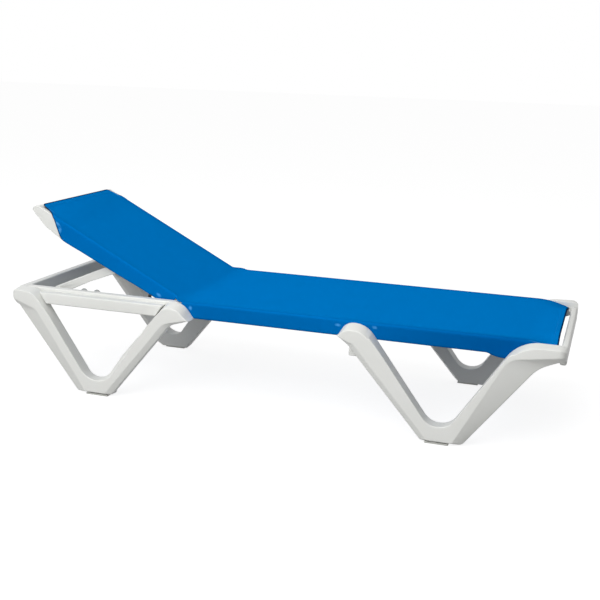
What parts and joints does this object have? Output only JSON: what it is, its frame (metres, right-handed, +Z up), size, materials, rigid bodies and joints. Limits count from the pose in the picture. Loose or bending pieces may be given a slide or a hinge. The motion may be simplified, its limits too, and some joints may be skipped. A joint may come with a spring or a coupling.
{
  "type": "sun lounger",
  "caption": "Low stacking sun lounger with V-shaped white resin legs, a taut blue woven sling over side rails, and a hinged back held by a prop bail on toothed racks.",
  "frame": {"origin": "On the floor, under the middle of the frame's length and width", "axes": "+X towards the foot end, +Y towards the far side, +Z up"},
  "size_m": [1.95, 0.71, 0.6596],
  "materials": {
    "white_resin": "satin moulded resin, white",
    "blue_sling": "woven coated-yarn sling, blue",
    "grey_resin": "moulded resin, mid grey",
    "glide_resin": "soft resin, light grey",
    "dark_steel": "black coated steel",
    "bolt_steel": "stainless steel",
    "spline_resin": "extruded resin rod, white"
  },
  "bodies": {
    "base": {"leg_front_near": "white_resin", "leg_front_far": "white_resin", "leg_rear_near": "white_resin", "leg_rear_far": "white_resin", "glide_front_near": "glide_resin", "glide_front_far": "glide_resin", "glide_rear_near": "glide_resin", "glide_rear_far": "glide_resin", "side_rail_near": "white_resin", "side_rail_far": "white_resin", "rail_cover_near": "white_resin", "rail_cover_far": "white_resin", "end_rail": "white_resin", "head_bar": "white_resin", "brace_front": "white_resin", "brace_rear": "white_resin", "rack_near": "grey_resin", "rack_far": "grey_resin", "hinge_bracket_near": "dark_steel", "hinge_bracket_far": "dark_steel", "hinge_pin_near": "dark_steel", "hinge_pin_far": "dark_steel", "leg_bolt_near_1": "bolt_steel", "leg_bolt_near_2": "bolt_steel", "leg_bolt_near_3": "bolt_steel", "leg_bolt_near_4": "bolt_steel", "leg_bolt_far_1": "bolt_steel", "leg_bolt_far_2": "bolt_steel", "leg_bolt_far_3": "bolt_steel", "leg_bolt_far_4": "bolt_steel", "sling_spline_near": "spline_resin", "sling_spline_far": "spline_resin", "sling_seat": "blue_sling"},
    "back": {"back_rail_near": "white_resin", "back_rail_far": "white_resin", "back_head_rail": "white_resin", "back_bar": "white_resin", "back_spline_near": "spline_resin", "back_spline_far": "spline_resin", "sling_back": "blue_sling", "bail_pin_near": "dark_steel", "bail_pin_far": "dark_steel"},
    "bail": {"bail_arm_near": "white_resin", "bail_arm_far": "white_resin", "bail_bar": "white_resin"}
  },
  "joints": [
    {"name": "back_recline", "type": "hinge", "parent": "base", "child": "back", "pos_m": [-0.34, 0, 0.344], "axis": [0, 1, 0], "range_deg": [-21, 43]},
    {"name": "bail_swing", "type": "hinge", "parent": "back", "child": "bail", "pos_m": [-0.59765, 0, 0.45508], "axis": [0, 1, 0], "range_deg": [-86, 42]}
  ],
  "couplings": [
    {"joint": "bail_swing", "follows": "back_recline", "ratio": -2}
  ]
}
